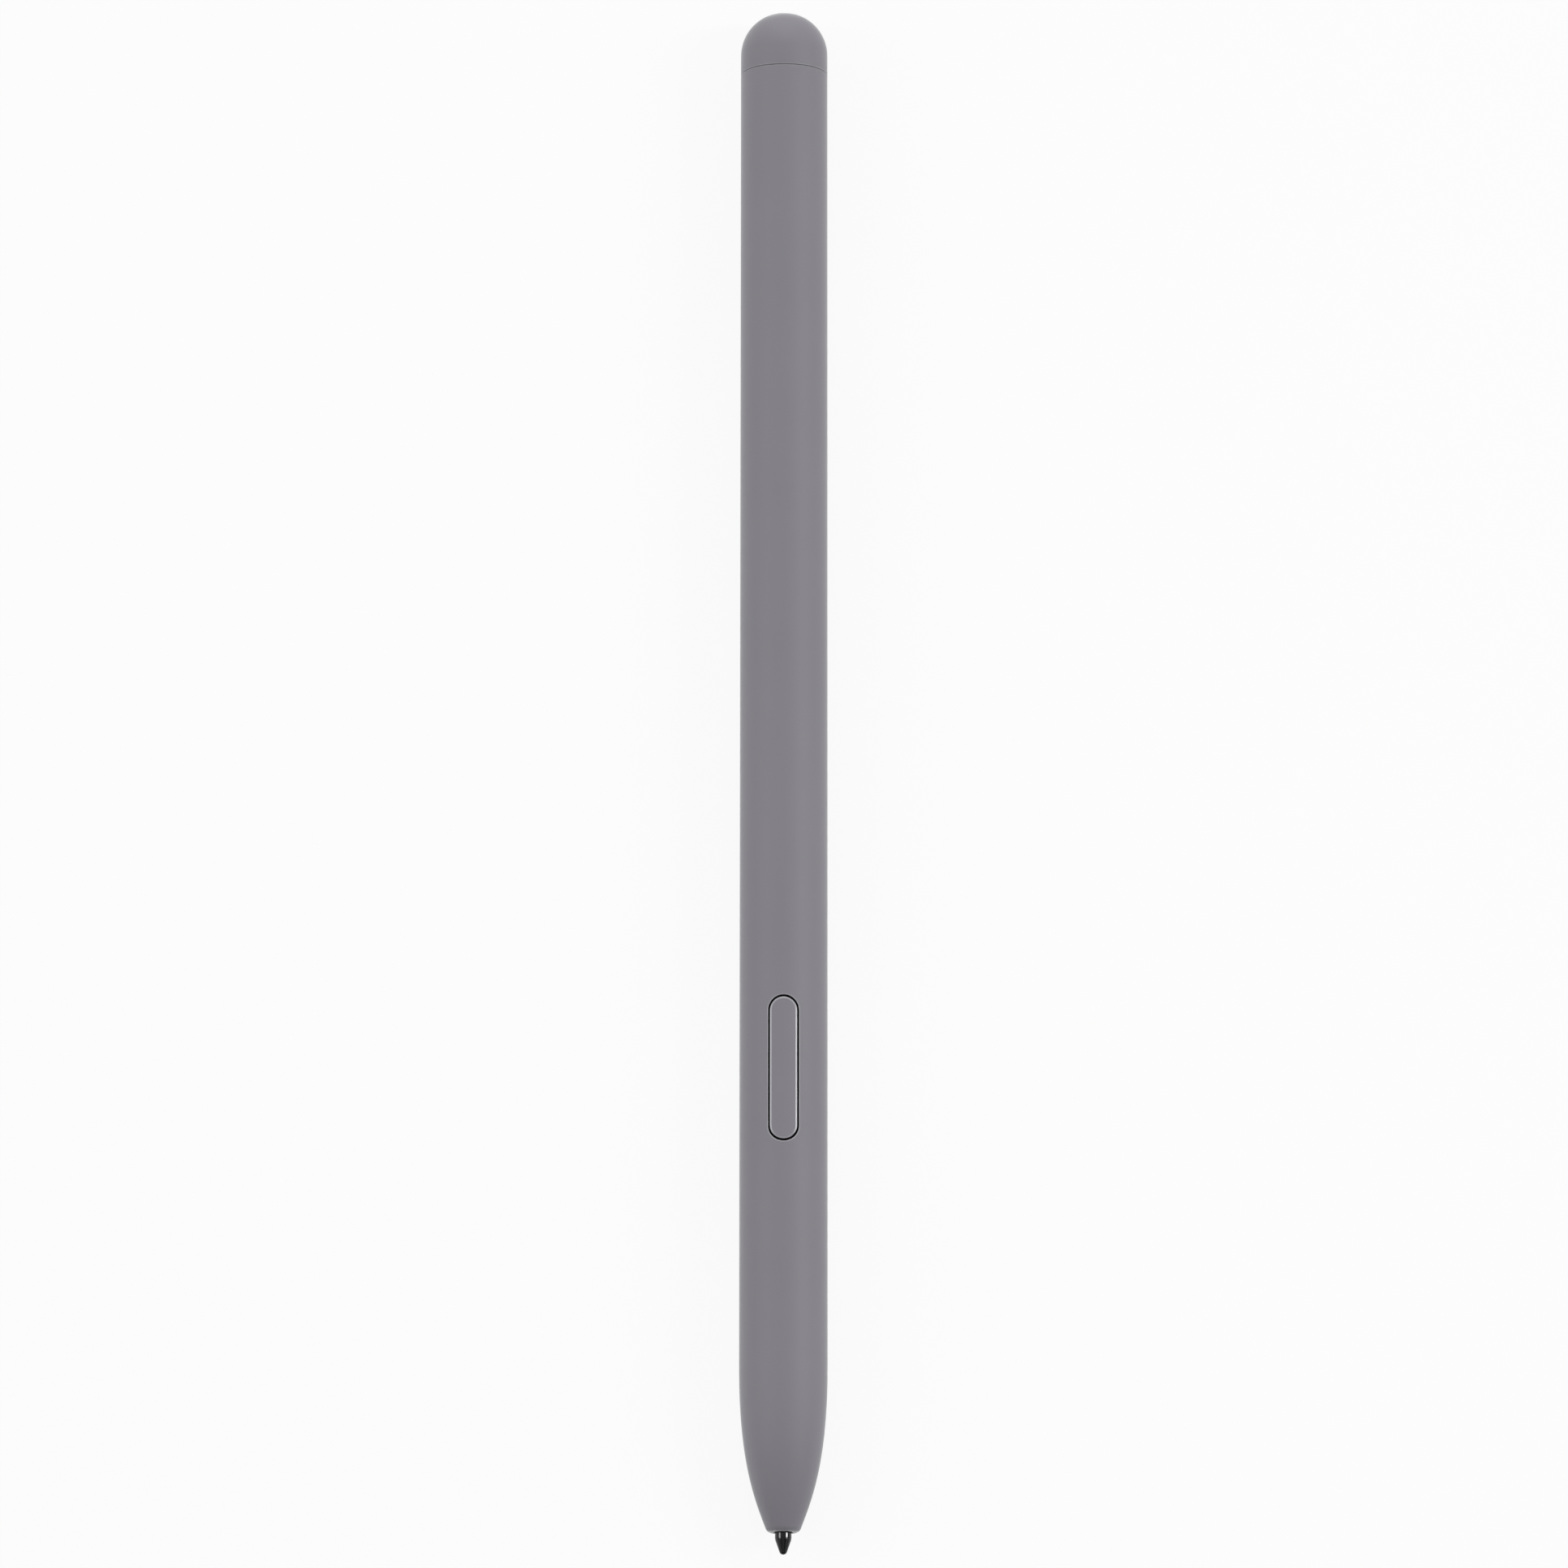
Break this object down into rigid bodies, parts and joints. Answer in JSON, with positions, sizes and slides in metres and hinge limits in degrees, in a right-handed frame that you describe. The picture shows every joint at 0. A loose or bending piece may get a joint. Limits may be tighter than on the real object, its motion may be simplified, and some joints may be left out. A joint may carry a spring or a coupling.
{
  "type": "stylus pen",
  "caption": "Slim round stylus pen with a domed end cap, bullet nose, pressure-sensing pull-out nib, long side button and a flat back that stops it rolling.",
  "frame": {"origin": "middle of the pen's length, on the back flat that it lies on", "axes": "+Y along the pen from nib to cap, +Z out of the side button, +X across"},
  "size_m": [0.008, 0.144, 0.0076],
  "materials": {
    "body_plastic": "fine satin texture",
    "nib_plastic": "gloss, matte cone",
    "soft_rubber": "matte",
    "contact_rubber": "matte",
    "ferrite": "dull dark grey",
    "copper": "enamelled copper",
    "sensor_plastic": "moulded black",
    "spring_steel": "bright",
    "ceramic": "glazed cream",
    "contact_brass": "bright",
    "chassis_plastic": "moulded dark grey",
    "board": "green solder mask",
    "chip": "tan ceramic",
    "switch_plastic": "moulded black",
    "magnet": "nickel plated",
    "foam": "matte foam"
  },
  "bodies": {
    "body": {"barrel": "body_plastic", "end_cap": "body_plastic", "core_packing": "soft_rubber", "ferrite_core": "ferrite", "coil_winding": "copper", "coil_leads": "copper", "core_cushion": "soft_rubber", "sensor_collar": "sensor_plastic", "sensor_spring": "spring_steel", "dielectric_disc": "ceramic", "rear_terminal": "contact_brass", "chassis": "chassis_plastic", "circuit_board": "board", "chip_capacitors": "chip", "switch_housing": "switch_plastic", "switch_cover": "spring_steel", "switch_dome": "spring_steel", "magnet_carrier": "chassis_plastic", "bar_magnets": "magnet", "end_cushion": "foam"},
    "sensor_plunger": {"nib_holder": "sensor_plastic", "contact_rubber": "contact_rubber"},
    "nib": {"nib": "nib_plastic"},
    "button": {"side_button": "body_plastic", "switch_plunger": "switch_plastic"}
  },
  "joints": [
    {"name": "nib_press", "type": "slide", "parent": "body", "child": "sensor_plunger", "axis": [0, 1, 0], "range_m": [0, 0.0003], "stiffness_N_per_m": 600, "springref_m": -0.0005, "deforming": ["sensor_spring"]},
    {"name": "nib_pull", "type": "slide", "parent": "sensor_plunger", "child": "nib", "axis": [0, -1, 0], "range_m": [0, 0.021]},
    {"name": "button_press", "type": "slide", "parent": "body", "child": "button", "axis": [0, 0, -1], "range_m": [0, 0.00025], "stiffness_N_per_m": 4000, "springref_m": -0.00015, "deforming": ["switch_dome"]}
  ]
}
